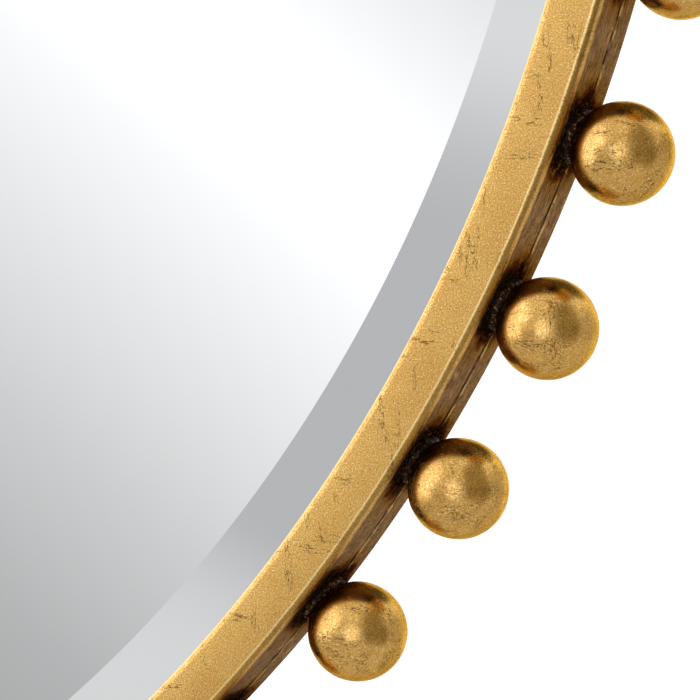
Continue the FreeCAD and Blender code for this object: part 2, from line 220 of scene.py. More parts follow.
class StageSettings(bpy.types.PropertyGroup):
    """Where the camera stands, how it looks and where the floor lies."""

    camera_place: bpy.props.FloatVectorProperty(
        name="Camera place", description="Place of the camera", subtype="TRANSLATION",
        default=(0.7695, -0.7571, -0.2175),
    )
    yaw: bpy.props.FloatProperty(
        name="Yaw", description="Turn of the view from straight ahead", subtype="ANGLE", default=-0.4369
    )
    pitch: bpy.props.FloatProperty(
        name="Pitch", description="Tilt of the view above the level", subtype="ANGLE", default=-0.0475
    )
    hang: bpy.props.FloatProperty(
        name="Hang", description="How far the mirror seems turned about its axis", subtype="ANGLE",
        default=math.radians(0.3),
    )
    lens: bpy.props.FloatProperty(
        name="Lens", description="Focal length in millimetres", default=138.5, min=1
    )
    floor_drop: length("Floor drop", 1500.0, "Distance of the floor below the mirror's centre")
    floor_width: length("Floor width", 6000.0, "Width of the square floor")


def settings():
    """Return the settings that a user can change."""
    return bpy.context.scene.gilt_mirror


# ---------------------------------------------------------------- nodes

def plug(tree, socket, value):
    """Link a socket to another one's value, or set it."""
    if isinstance(value, bpy.types.NodeSocket):
        tree.links.new(value, socket)
    else:
        socket.default_value = value


def add_node(tree, kind, inputs=None, **options):
    """Add a node, set its options and fill or link its inputs; return the node."""
    node = tree.nodes.new(kind)
    for key, value in options.items():
        setattr(node, key, value)
    for key, value in (inputs or {}).items():
        plug(tree, node.inputs[key], value)
    return node


def calc(tree, operation, first, second=0.0, clamp=False):
    """Return the result of one sum on two values."""
    inputs = {0: first, 1: second}
    return add_node(tree, "ShaderNodeMath", inputs, operation=operation, use_clamp=clamp).outputs[0]


def fade(tree, value, start, end):
    """Return 0 before start and 1 after end, with a smooth step between; end may be less than start."""
    inputs = {"Value": value, "From Min": start, "From Max": end}
    return add_node(tree, "ShaderNodeMapRange", inputs, interpolation_type="SMOOTHSTEP").outputs[0]


def mix_colour(tree, share, first, second, most=None):
    """Return the first colour with a share of the second laid over it, and no more of it than most."""
    if most is not None:
        share = calc(tree, "MULTIPLY", share, most)
    # Sockets by number, because a Mix node names its factor and both ends alike for numbers and colours
    inputs = {0: share, 6: first, 7: second}
    return add_node(tree, "ShaderNodeMix", inputs, data_type="RGBA", clamp_factor=True).outputs[2]


def noise(tree, place, feature_mm, detail=2.0, roughness=0.5):
    """Return a noise value whose features are about so many millimetres wide."""
    inputs = {"Vector": place, "Scale": 1 / (feature_mm * MM), "Detail": detail, "Roughness": roughness}
    return add_node(tree, "ShaderNodeTexNoise", inputs).outputs["Fac"]


def turned_place(tree, place, turn, stretch):
    """Return coordinates that are turned and squeezed, so that a pattern on them runs in one direction."""
    inputs = {"Vector": place, "Rotation": turn, "Scale": stretch}
    return add_node(tree, "ShaderNodeMapping", inputs).outputs[0]


def hairlines(tree, place, feature_mm, width, patch_mm, patch_from, kinks=3.0):
    """Return thin lines that show only in patches, straighter with fewer kinks.

    A line runs where the noise passes its middle; its width is a step of that noise, and its core is full.
    """
    field = noise(tree, place, feature_mm, kinks, 0.6)
    distance = calc(tree, "ABSOLUTE", calc(tree, "SUBTRACT", field, 0.5))
    line = fade(tree, distance, width, width * 0.3)
    shown = fade(tree, noise(tree, place, patch_mm, 1.0), patch_from, patch_from + 0.1)
    return calc(tree, "MULTIPLY", line, shown)


def new_material(name):
    """Return a material with its tree, shader and Object coordinates."""
    material = bpy.data.materials.new(name)
    material.use_nodes = True
    tree = material.node_tree
    tree.nodes.clear()
    shader = add_node(tree, "ShaderNodeBsdfPrincipled")
    add_node(tree, "ShaderNodeOutputMaterial", {"Surface": shader.outputs[0]})
    place = add_node(tree, "ShaderNodeTexCoord").outputs["Object"]
    return material, tree, shader, place


def feed(tree, shader, **inputs):
    """Link or set the shader's sockets; underscores in a name stand for spaces."""
    for key, value in inputs.items():
        plug(tree, shader.inputs[key.replace("_", " ")], value)


def bump(tree, height, depth_mm, strength=1.0):
    """Return a normal for a height that is so many millimetres deep."""
    inputs = {"Height": height, "Distance": depth_mm * MM, "Strength": strength}
    return add_node(tree, "ShaderNodeBump", inputs).outputs[0]


def polar(tree, place):
    """Return the distance from the mirror's axis, the clock angle and the depth along Y."""
    parts = add_node(tree, "ShaderNodeSeparateXYZ", {0: place})
    x, y, z = parts.outputs
    radius = calc(tree, "SQRT", calc(tree, "ADD", calc(tree, "MULTIPLY", x, x), calc(tree, "MULTIPLY", z, z)))
    return radius, calc(tree, "ARCTAN2", z, x), y


def foot_distance(tree, angle, depth):
    """Return the distance along the ring's outside from the foot of the nearest ball."""
    share = calc(tree, "FRACT", calc(tree, "DIVIDE", angle, BALL_STEP))
    arc = calc(tree, "MULTIPLY", calc(tree, "SUBTRACT", share, 0.5), BALL_STEP * RING_OUTER)
    across = calc(tree, "SUBTRACT", depth, BALL_Y)
    squares = calc(tree, "ADD", calc(tree, "MULTIPLY", arc, arc), calc(tree, "MULTIPLY", across, across))
    return calc(tree, "SQRT", squares)


def leaf_surface(tree, place, colours, wear):
    """Return colour, roughness and fine height of laid gold leaf; wear is 0 for little and 1 for much.

    Leaf less than a thousandth of a millimetre thick lies on a brown ground and shows the ground's grain,
    which is finer than the 0.5 mm that it is drawn with here so that it shows. Rubbing opens hairline cracks
    in patches.
    """
    tone = fade(tree, noise(tree, place, 14.0, 3.0, 0.6), 0.38, 0.66)
    base = mix_colour(tree, tone, colours.leaf, colours.leaf_deep, most=0.4)
    grain = noise(tree, place, 0.52, 3.0, 0.75)
    speck = fade(tree, grain, 0.52, 0.66)
    base = mix_colour(tree, speck, base, LEAF_GROUND, most=0.62)
    glint = fade(tree, grain, 0.47, 0.34)
    base = mix_colour(tree, glint, base, LEAF_GLINT, most=0.75)
    along = turned_place(tree, place, (0.4, 0.9, 0.7), (1.0, 1.0, 0.28))
    across = turned_place(tree, place, (1.2, 0.2, -0.8), (0.24, 1.0, 1.0))
    cracked_from = 0.63 - 0.10 * wear
    first = hairlines(tree, along, 1.3, 0.026, 4.0, cracked_from)
    second = hairlines(tree, across, 1.5, 0.026, 4.5, cracked_from)
    crack = calc(tree, "MAXIMUM", first, second)
    pits = fade(tree, noise(tree, place, 1.2, 1.0), 0.75, 0.80)
    crack = calc(tree, "MAXIMUM", crack, calc(tree, "MULTIPLY", pits, 0.8))
    base = mix_colour(tree, crack, base, CRACK_BROWN, most=0.7)
    rough = calc(tree, "ADD", calc(tree, "MULTIPLY", grain, 0.18), calc(tree, "MULTIPLY", crack, 0.3))
    height = calc(tree, "SUBTRACT", grain, crack)
    return base, calc(tree, "ADD", rough, 0.17), height


def seam_lines(tree, depth, wobble):
    """Return the dark groove between tube and flat bar, and a band of painted highlight on the bar's edge
    beside it.
    """
    off = calc(tree, "ABSOLUTE", calc(tree, "SUBTRACT", depth, TUBE_BACK))
    off = calc(tree, "ADD", off, calc(tree, "MULTIPLY", wobble, 0.12))
    open_share = fade(tree, wobble, -0.4 * MM, 0.3 * MM)
    groove = calc(tree, "MULTIPLY", fade(tree, off, 0.9 * MM, 0.4 * MM), open_share)
    ridge_highlight = calc(tree, "MULTIPLY", fade(tree, off, 0.5 * MM, 0.8 * MM), fade(tree, off, 2.6 * MM, 1.8 * MM))
    on_bar = fade(tree, depth, TUBE_BACK - 0.1 * MM, TUBE_BACK + 0.1 * MM)
    return groove, calc(tree, "MULTIPLY", ridge_highlight, on_bar)


def painted_edge_light_and_shade(tree, radius, depth, wobble):
    """Return the pale lines of painted highlight where the front face turns over, and a duller band of
    painted shade outside the outer one.
    """
    strayed = calc(tree, "ADD", radius, calc(tree, "MULTIPLY", wobble, 0.10))
    front = fade(tree, depth, RING_FRONT + 2.2 * MM, RING_FRONT + 1.2 * MM)
    outer = calc(tree, "ABSOLUTE", calc(tree, "SUBTRACT", strayed, RING_OUTER - OUTER_LINE))
    inner = calc(tree, "SUBTRACT", strayed, RING_OUTER - settings().ring.tube_width + INNER_LINE)
    outer = fade(tree, outer, 0.34 * MM, 0.10 * MM)
    inner = fade(tree, inner, 0.5 * MM, 0.1 * MM)
    pale = calc(tree, "MAXIMUM", outer, inner)
    shade_band = calc(tree, "ABSOLUTE", calc(tree, "SUBTRACT", strayed, RING_OUTER - OLIVE_LINE))
    shade_band = fade(tree, shade_band, 0.7 * MM, 0.4 * MM)
    return calc(tree, "MULTIPLY", pale, front), calc(tree, "MULTIPLY", shade_band, front)


def umber_wash(tree, place, colours, angle, depth, wobble, wash):
    """Return the wash's colour, and where it is dark, where lines are cut in it and where crust glints.

    It was brushed along the ring, so its streaks and cracks are squeezed across the depth. Around the foot of
    every ball it turns warm, then dark, and the weld has spattered crust over it.
    """
    streak_place = turned_place(tree, place, (0.0, 0.0, 0.0), (1.0, 3.5, 1.0))
    streak = fade(tree, noise(tree, streak_place, 5.0, 5.0, 0.7), 0.40, 0.62)
    umber = mix_colour(tree, streak, colours.umber, UMBER_STREAK, most=0.8)
    foot = foot_distance(tree, angle, depth)
    ragged = calc(tree, "ADD", foot, calc(tree, "MULTIPLY", wobble, 4.0))
    warm = fade(tree, ragged, *WARM_REACH)
    dark = fade(tree, ragged, *DARK_REACH)
    umber = mix_colour(tree, warm, umber, UMBER_WARM, most=0.7)
    umber = mix_colour(tree, dark, umber, colours.soot, most=0.88)
    groove, ridge_highlight = seam_lines(tree, depth, wobble)
    # Patches of painted highlight along the bar's edge beside the seam, kept off where the foot is dark
    rubbed_and_lit = fade(tree, noise(tree, place, 7.0, 3.0, 0.6), 0.42, 0.58)
    ridge_highlight = calc(tree, "MULTIPLY", calc(tree, "MULTIPLY", ridge_highlight, rubbed_and_lit), calc(tree, "SUBTRACT", 1.0, dark))
    umber = mix_colour(tree, ridge_highlight, umber, RIDGE_HIGHLIGHT_GOLD, most=0.8)
    side_cracks = calc(tree, "MULTIPLY", hairlines(tree, streak_place, 3.2, 0.05, 6.0, 0.40), 0.85)
    lines = calc(tree, "MAXIMUM", side_cracks, calc(tree, "MULTIPLY", groove, 0.9))
    umber = mix_colour(tree, lines, umber, colours.soot)
    crust = fade(tree, noise(tree, place, 1.1, 3.0, 0.75), 0.54, 0.66)
    crusted = fade(tree, ragged, *CRUST_REACH)
    glints = calc(tree, "MULTIPLY", calc(tree, "MULTIPLY", crust, crusted), wash)
    umber = mix_colour(tree, glints, umber, CRUST_GOLD, most=0.6)
    return umber, dark, lines, glints


def ring_leaf_material(colours):
    """Gold leaf on a rolled iron tube, clean in front and washed with umber outside.

    The front stays a satin metal; the wash dulls the outside to a brown that is dark beside every weld.
    """
    material, tree, shader, place = new_material("gold_leaf_on_iron_ring")
    base, rough, height = leaf_surface(tree, place, colours, RING_WEAR)
    radius, angle, depth = polar(tree, place)
    wobble = calc(tree, "MULTIPLY", calc(tree, "SUBTRACT", noise(tree, place, 6.0, 3.0, 0.65), 0.5), 3.0 * MM)
    outside = fade(tree, calc(tree, "ADD", radius, wobble), *WASH_RADII)
    behind_edge = fade(tree, calc(tree, "ADD", depth, wobble), *WASH_DEPTHS)
    wash = calc(tree, "MULTIPLY", outside, behind_edge)
    umber, dark, lines, glints = umber_wash(tree, place, colours, angle, depth, wobble, wash)
    base = mix_colour(tree, wash, base, umber)
    # Painted highlight lines and a painted shade band where the front face turns over
    pale, shade_band = painted_edge_light_and_shade(tree, radius, depth, wobble)
    base = mix_colour(tree, shade_band, base, EDGE_SHADE_OLIVE, most=0.65)
    base = mix_colour(tree, pale, base, EDGE_HIGHLIGHT_PALE, most=0.6)
    soiled = calc(tree, "MULTIPLY", wash, dark)
    rough = calc(tree, "ADD", rough, calc(tree, "MULTIPLY", wash, 0.10), clamp=True)
    rough = calc(tree, "ADD", rough, calc(tree, "MULTIPLY", soiled, 0.15), clamp=True)
    tint = mix_colour(tree, wash, LEAF_TINT, UMBER_TINT)
    tint = mix_colour(tree, soiled, tint, SOILED_TINT)
    # Grain is twice as deep in the wash, crust stands out of it and lines are cut into it
    height = calc(tree, "MULTIPLY", height, calc(tree, "ADD", 1.0, wash))
    height = calc(tree, "ADD", height, calc(tree, "MULTIPLY", glints, 5.0))
    height = calc(tree, "SUBTRACT", height, calc(tree, "MULTIPLY", lines, calc(tree, "MULTIPLY", wash, 2.5)))
    feed(tree, shader, Base_Color=base, Roughness=rough, Metallic=1.0, Normal=bump(tree, height, 0.10, 1.0))
    feed(tree, shader, Specular_Tint=tint)
    return material


def ball_leaf_material(colours):
    """Gold leaf on hollow iron balls: bright and scratched outside, towards the ring a painted shade and
    reflection of it in orange-brown, then black at the weld.
    """
    material, tree, shader, place = new_material("gold_leaf_on_iron_balls")
    base, rough, height = leaf_surface(tree, place, colours, BALL_WEAR)
    radius, _, _ = polar(tree, place)
    wobble = calc(tree, "MULTIPLY", calc(tree, "SUBTRACT", noise(tree, place, 7.0, 3.0, 0.6), 0.5), 5.0 * MM)
    reach = calc(tree, "ADD", radius, wobble)
    # Painted shade and painted reflection of the ring on the side of the ball that faces it
    shade_amber = fade(tree, reach, *SHADE_AMBER_RADII)
    soot = fade(tree, reach, *SOOT_RADII)
    base = mix_colour(tree, shade_amber, base, colours.shade_amber, most=0.9)
    base = mix_colour(tree, soot, base, colours.soot, most=0.94)
    # Long fine scratches from handling, in two directions
    scratch_place = turned_place(tree, place, (0.3, -0.35, 0.2), (0.07, 1.0, 1.0))
    scratch = hairlines(tree, scratch_place, 0.7, 0.05, 6.0, 0.53, kinks=0.5)
    cross_place = turned_place(tree, place, (0.9, 0.75, -0.4), (1.0, 1.0, 0.08))
    scratch = calc(tree, "MAXIMUM", scratch, hairlines(tree, cross_place, 0.8, 0.04, 5.0, 0.60, kinks=0.5))
    base = mix_colour(tree, scratch, base, CRACK_BROWN, most=0.7)
    sooty_rough = calc(tree, "SUBTRACT", calc(tree, "MULTIPLY", soot, 0.3), 0.06)
    rough = calc(tree, "ADD", rough, sooty_rough, clamp=True)
    height = calc(tree, "SUBTRACT", height, scratch)
    feed(tree, shader, Base_Color=base, Roughness=rough, Metallic=1.0, Normal=bump(tree, height, 0.05, 0.7))
    feed(tree, shader, Specular_Tint=mix_colour(tree, soot, BALL_TINT, SOILED_TINT))
    return material


def weld_material(colours):
    """Arc weld left as laid, gilded over and filled with near-black patina, so only its crests glint."""
    material, tree, shader, place = new_material("patinated_weld_bead")
    crest = noise(tree, place, 1.2, 3.0, 0.7)
    gilded = fade(tree, crest, 0.52, 0.64)
    base = mix_colour(tree, gilded, colours.soot, WELD_CREST, most=0.75)
    rough = calc(tree, "SUBTRACT", 0.62, calc(tree, "MULTIPLY", gilded, 0.25))
    feed(tree, shader, Base_Color=base, Roughness=rough, Metallic=0.8, Normal=bump(tree, crest, 0.5, 1.0))
    return material


def silvered_glass_material(colours):
    """Plate glass silvered on its back: the bevel and the flat show as one near-perfect mirror.

    The clear glass in front of the silver isn't drawn as glass, only as a faint cast that varies a little.
    """
    material, tree, shader, place = new_material("silvered_plate_glass")
    tone = noise(tree, place, 90.0, 1.0)
    base = mix_colour(tree, tone, colours.silver, SILVER_CAST, most=0.2)
    feed(tree, shader, Base_Color=base, Roughness=0.008, Metallic=1.0)
    return material


def silver_paint_material():
    """Grey paint that seals the silver: thin, even, satin."""
    material, tree, shader, place = new_material("grey_backing_paint")
    tone = noise(tree, place, 5.0, 3.0)
    base = mix_colour(tree, tone, PAINT_DARK, PAINT_LIGHT)
    feed(tree, shader, Base_Color=base, Roughness=0.55)
    return material


def fibreboard_material(colours):
    """Medium-density fibreboard: pressed wood fibre, matt, with short fibres of about 2 mm."""
    material, tree, shader, place = new_material("pressed_fibreboard")
    fibre_place = turned_place(tree, place, (0.2, 0.4, 0.5), (1.0, 1.0, 0.3))
    fibre = noise(tree, fibre_place, 2.0, 4.0, 0.7)
    cloud = noise(tree, place, 60.0, 3.0)
    base = mix_colour(tree, fade(tree, fibre, 0.35, 0.7), colours.board, FIBRE_LIGHT)
    base = mix_colour(tree, cloud, base, FIBRE_CLOUD, most=0.3)
    feed(tree, shader, Base_Color=base, Roughness=0.85, Normal=bump(tree, fibre, 0.08, 0.6))
    return material


def painted_steel_material(colours):
    """Brushed-on bronze paint over steel plate: satin, slightly streaked, worn at random."""
    material, tree, shader, place = new_material("bronze_painted_steel")
    streak_place = turned_place(tree, place, (0.0, 0.0, 0.0), (1.0, 1.0, 0.25))
    streak = noise(tree, streak_place, 3.0, 4.0, 0.6)
    rubbed_and_lit = fade(tree, noise(tree, place, 9.0, 4.0, 0.7), 0.62, 0.75)
    base = mix_colour(tree, fade(tree, streak, 0.3, 0.7), colours.bronze, BRONZE_STREAK)
    base = mix_colour(tree, rubbed_and_lit, base, BRONZE_RUBBED, most=0.5)
    rough = calc(tree, "ADD", calc(tree, "MULTIPLY", streak, 0.2), 0.38)
    feed(tree, shader, Base_Color=base, Roughness=rough, Metallic=0.6, Normal=bump(tree, streak, 0.05, 0.6))
    return material


def zinc_material(colours):
    """Zinc plating on pressed steel: a soft metal grey with faint patches of about 4 mm."""
    material, tree, shader, place = new_material("zinc_plated_steel")
    cells = add_node(tree, "ShaderNodeTexVoronoi", {"Vector": place, "Scale": 1 / (4.0 * MM)})
    grey = add_node(tree, "ShaderNodeRGBToBW", {0: cells.outputs["Color"]}).outputs[0]
    fine = noise(tree, place, 0.9, 3.0, 0.7)
    base = mix_colour(tree, grey, colours.zinc, ZINC_CLOUD, most=0.35)
    rough = calc(tree, "ADD", calc(tree, "MULTIPLY", fine, 0.25), 0.2)
    feed(tree, shader, Base_Color=base, Roughness=rough, Metallic=1.0, Normal=bump(tree, fine, 0.02, 0.5))
    return material


def rubber_material(colours):
    """Moulded rubber and cut foam: black, matt, with a pored surface of about 0.6 mm."""
    material, tree, shader, place = new_material("black_rubber_foam")
    pores = noise(tree, place, 0.6, 3.0, 0.7)
    base = mix_colour(tree, pores, colours.rubber, RUBBER_PORE, most=0.5)
    feed(tree, shader, Base_Color=base, Roughness=0.8, Normal=bump(tree, pores, 0.08, 0.7))
    return material


def stage_material():
    """Matt white studio paper for the floor."""
    material, tree, shader, _ = new_material("white_studio_paper")
    feed(tree, shader, Base_Color=STUDIO_PAPER, Roughness=0.9)
    return material


def give(piece, material):
    """Make a material the only one on a piece."""
    piece.data.materials.clear()
    piece.data.materials.append(material)


def repaint(names, material):
    """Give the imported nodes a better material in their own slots."""
    for name in names:
        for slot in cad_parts[name].material_slots:
            slot.material = material


# ---------------------------------------------------------------- shapes

def deselect():
    """Leave edit mode and select nothing."""
    if bpy.context.object and bpy.context.object.mode != "OBJECT":
        bpy.ops.object.mode_set(mode="OBJECT")
    bpy.ops.object.select_all(action="DESELECT")


def pick(piece):
    """Select one piece alone and make it active."""
    deselect()
    piece.select_set(True)
    bpy.context.view_layer.objects.active = piece


def active_piece(name):
    """Name the active object and its mesh, and return it."""
    piece = bpy.context.object
    piece.name = name
    piece.data.name = name
    return piece


def settle(piece):
    """Move a piece's place, turn and size into its mesh."""
    pick(piece)
    bpy.ops.object.transform_apply(location=True, rotation=True, scale=True)


def apply_modifier(piece, kind, **options):
    """Add a modifier with its options and apply it."""
    pick(piece)
    modifier = piece.modifiers.new(kind.lower(), kind)
    for key, value in options.items():
        setattr(modifier, key, value)
    bpy.ops.object.modifier_apply(modifier=modifier.name)


def smooth(piece, angle_deg=35.0):
    """Shade a piece smoothly, with its sharp edges kept."""
    pick(piece)
    bpy.ops.object.shade_smooth_by_angle(angle=math.radians(angle_deg))


def section_plane(name, inner, outer, front, back):
    """Add the section of a turned piece, a rectangle of radius along X and depth along Y, in edit mode."""
    deselect()
    middle = ((inner + outer) / 2, (front + back) / 2, 0)
    bpy.ops.mesh.primitive_plane_add(size=1, location=middle)
    piece = active_piece(name)
    piece.scale = (outer - inner, back - front, 1)
    settle(piece)
    bpy.ops.object.mode_set(mode="EDIT")
    return piece


def pick_corners(piece, keep):
    """Select the vertices that keep says yes to, in edit mode."""
    bpy.ops.mesh.select_mode(type="VERT")
    bpy.ops.mesh.select_all(action="DESELECT")
    bpy.ops.object.mode_set(mode="OBJECT")
    for vertex in piece.data.vertices:
        vertex.select = keep(vertex.co)
    bpy.ops.object.mode_set(mode="EDIT")


def turn_section(steps):
    """Spin the section that is being edited about the mirror's axis into a closed ring."""
    bpy.ops.mesh.select_all(action="SELECT")
    bpy.ops.mesh.delete(type="ONLY_FACE")
    bpy.ops.mesh.select_all(action="SELECT")
    bpy.ops.mesh.spin(steps=steps, angle=math.radians(360), center=(0, 0, 0), axis=(0, 1, 0))
    bpy.ops.mesh.select_all(action="SELECT")
    bpy.ops.mesh.remove_doubles(threshold=MERGED)
    bpy.ops.mesh.select_all(action="SELECT")
    bpy.ops.mesh.normals_make_consistent(inside=False)
    bpy.ops.object.mode_set(mode="OBJECT")


def hold(piece, *nodes, slot):
    """Let a piece ride on the mirror and stand for its nodes, which are hidden; slot is not used."""
    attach(piece, MIRROR_BODY)
    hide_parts(*nodes)


def shape_tube(sizes):
    """Spin the tube's rounded section into the front ring."""
    inner = RING_OUTER - sizes.tube_width
    piece = section_plane("leafed_front_ring", inner, RING_OUTER, RING_FRONT, TUBE_BACK)
    middle = (RING_FRONT + TUBE_BACK) / 2
    for front, radius, segments in ((True, sizes.front_rounding, 6), (False, sizes.rear_rounding, 3)):
        pick_corners(piece, lambda co: (co.y < middle) == front)
        bpy.ops.mesh.bevel(offset=radius, segments=segments, affect="VERTICES", profile=0.5)
    turn_section(sizes.turn_steps)
    smooth(piece)
    return piece


def shape_band(sizes):
    """Spin the flat bar's section into the rear band."""
    inner = RING_OUTER - sizes.band_thickness
    piece = section_plane("leafed_rear_band", inner, RING_OUTER, TUBE_BACK, BAND_BACK)
    pick_corners(piece, lambda co: co.x > RING_OUTER - sizes.band_thickness / 2)
    bpy.ops.mesh.bevel(offset=sizes.band_chamfer, segments=3, affect="VERTICES", profile=0.5)
    turn_section(sizes.turn_steps)
    smooth(piece)
    return piece


def roughen(piece, texture, depth, place):
    """Let a pattern's surface stand in and out, put it in its place and shade it smoothly."""
    settle(piece)
    apply_modifier(piece, "DISPLACE", texture=texture, strength=depth, mid_level=0.5)
    piece.location = place
    settle(piece)
    pick(piece)
    bpy.ops.object.shade_smooth()


def shape_ball(sizes, texture):
    """Model one ball at the +X side, a little uneven under its leaf."""
    deselect()
    bpy.ops.mesh.primitive_uv_sphere_add(
        segments=sizes.segments, ring_count=sizes.rings, radius=BALL_RADIUS, location=(0, 0, 0),
        rotation=(0, math.radians(90), 0),
    )
    piece = active_piece("ball_pattern")
    roughen(piece, texture, sizes.leaf_unevenness, (BALL_CIRCLE, BALL_Y, 0))
    return piece


def shape_weld(sizes, texture):
    """Model one ring of weld at the +X side, lumpy as it was laid and sunk a little into the ring."""
    deselect()
    bpy.ops.mesh.primitive_torus_add(
        major_radius=sizes.weld_radius, minor_radius=sizes.weld_thickness,
        major_segments=sizes.weld_turn, minor_segments=sizes.weld_round,
        location=(0, 0, 0), rotation=(0, math.radians(90), 0),
    )
    piece = active_piece("weld_pattern")
    centre = RING_OUTER + WELD_STAND_OUT * sizes.weld_thickness
    roughen(piece, texture, sizes.weld_roughness, (centre, BALL_Y, 0))
    return piece


def lump_texture(name, size_mm, depth):
    """Return a cloud texture with lumps of a size, broken up as many times as its depth says."""
    texture = bpy.data.textures.new(name, "CLOUDS")
    texture.noise_scale = size_mm * MM
    texture.noise_depth = depth
    return texture


def row_of(pattern, name, row):
    """Join five copies of a pattern into one row, each also turned about its own spoke."""
    copies = []
    for index in range(BALLS_IN_ROW):
        number = row * BALLS_IN_ROW + index
        copy = pattern.copy()
        copy.data = pattern.data.copy()
        bpy.context.collection.objects.link(copy)
        angle = (number + 0.5) * BALL_STEP
        own_turn = Matrix.Rotation(number * OWN_TURN, 4, Vector((1, 0, 0)))
        to_centre = Matrix.Translation((-BALL_CIRCLE, -BALL_Y, 0))
        copy.matrix_world = (
            Matrix.Rotation(-angle, 4, Vector((0, 1, 0))) @ to_centre.inverted() @ own_turn @ to_centre
        )
        copies.append(copy)
    deselect()
    for copy in copies:
        copy.select_set(True)
    bpy.context.view_layer.objects.active = copies[0]
    bpy.ops.object.join()
    piece = active_piece(name)
    settle(piece)
    return piece


def lay_rows(pattern, piece_name, node_name, slot):
    """Lay a pattern's rows around the ring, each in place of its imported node, and remove the pattern."""
    for row in range(ROWS):
        number = "%02d" % (row + 1)
        hold(row_of(pattern, piece_name + number, row), node_name + number, slot=slot)
    bpy.data.objects.remove(pattern)


def shape_glass(sizes, steps):
    """Spin the bevelled section into a disc of glass, with its bevel as deep and wide as the solid's."""
    back = GLASS_BACK - sizes.film_gap
    piece = section_plane("bevelled_mirror_glass", 0, GLASS_OUTER, GLASS_FRONT, back)
    pick_corners(piece, lambda co: co.x > GLASS_OUTER / 2 and co.y < (GLASS_FRONT + back) / 2)
    drop = GLASS_BACK - GLASS_FRONT - sizes.edge_thickness
    bpy.ops.transform.translate(value=(0, drop, 0))
    bpy.ops.mesh.select_all(action="DESELECT")
    bpy.ops.mesh.select_mode(type="EDGE")
    bpy.ops.object.mode_set(mode="OBJECT")
    for edge in piece.data.edges:
        ends = [piece.data.vertices[i].co for i in edge.vertices]
        across = abs(ends[0].x - ends[1].x) > GLASS_OUTER / 2
        edge.select = across and min(end.y for end in ends) < GLASS_FRONT + TOUCHING
    bpy.ops.object.mode_set(mode="EDIT")
    bpy.ops.mesh.subdivide(number_cuts=1)
    # The cut lies halfway along the sloping front, and moves out to where the bevel begins
    pick_corners(piece, lambda co: 0.1 * GLASS_OUTER < co.x < 0.9 * GLASS_OUTER)
    reach = GLASS_OUTER - sizes.bevel_width - GLASS_OUTER / 2
    bpy.ops.transform.translate(value=(reach, -drop / 2, 0))
    pick_corners(piece, lambda co: co.x > GLASS_OUTER - TOUCHING)
    bpy.ops.mesh.bevel(offset=sizes.arris, segments=1, affect="VERTICES")
    turn_section(steps)
    # The bevel slopes by only about 5 degrees, and its line has to stay sharp
    smooth(piece, angle_deg=1.0)
    return piece


# ---------------------------------------------------------------- operators

class MIRROR_OT_frame_ring(bpy.types.Operator):
    """Build the gold-leafed tube and the band behind it"""

    bl_idname = "mirror.frame_ring"
    bl_label = "Frame ring"

    def execute(self, context):
        chosen = settings()
        material = ring_leaf_material(chosen.colours)
        tube = shape_tube(chosen.ring)
        band = shape_band(chosen.ring)
        give(tube, material)
        give(band, material)
        hold(tube, "front_frame_ring", slot="gilt_iron")
        hold(band, "rear_frame_band", slot="gilt_iron")
        return {"FINISHED"}


class MIRROR_OT_balls(bpy.types.Operator):
    """Build the twelve rows of gold-leafed balls"""

    bl_idname = "mirror.balls"
    bl_label = "Balls"

    def execute(self, context):
        chosen = settings()
        pattern = shape_ball(chosen.balls, lump_texture("leaf_lumps", size_mm=9.0, depth=2))
        give(pattern, ball_leaf_material(chosen.colours))
        lay_rows(pattern, "leafed_balls_", "ball_row_", slot="gilt_ball")
        return {"FINISHED"}


class MIRROR_OT_welds(bpy.types.Operator):
    """Build the weld at the foot of every ball"""

    bl_idname = "mirror.welds"
    bl_label = "Ball welds"

    def execute(self, context):
        chosen = settings()
        pattern = shape_weld(chosen.balls, lump_texture("weld_lumps", size_mm=1.9, depth=3))
        give(pattern, weld_material(chosen.colours))
        lay_rows(pattern, "ball_weld_beads_", "ball_welds_", slot="dark_weld")
        return {"FINISHED"}


class MIRROR_OT_glass(bpy.types.Operator):
    """Build the bevelled glass and its silvering"""

    bl_idname = "mirror.glass"
    bl_label = "Glass"

    def execute(self, context):
        chosen = settings()
        glass = shape_glass(chosen.glass, chosen.ring.turn_steps)
        give(glass, silvered_glass_material(chosen.colours))
        hold(glass, "mirror_glass", slot="plate_glass")
        repaint(["silver_layer"], silver_paint_material())
        return {"FINISHED"}


class MIRROR_OT_back(bpy.types.Operator):
    """Finish the board, tabs, hangers and pads behind the mirror"""

    bl_idname = "mirror.back"
    bl_label = "Back"

    def execute(self, context):
        colours = settings().colours
        sides = ("left", "right")
        repaint(["backing_board"], fibreboard_material(colours))
        plates = ["retaining_tabs", "tab_welds", "hanger_plate_welds", "ring_tack_welds"]
        repaint(plates + ["hanger_plate_" + side for side in sides], painted_steel_material(colours))
        plated = ["tab_screws", "hanger_rivets"] + ["hanger_strap_" + side for side in sides]
        repaint(plated + ["d_ring_" + side for side in sides], zinc_material(colours))
        repaint(["glazing_gasket", "foam_sheet", "wall_bumpers"], rubber_material(colours))
        return {"FINISHED"}


# Casts of the studio's surfaces
PLAIN = (1.0, 1.0, 1.0)
COOL = (0.97, 1.03, 1.24)
WARM = (1.06, 0.95, 0.68)
BLUISH = (0.98, 0.99, 1.01)

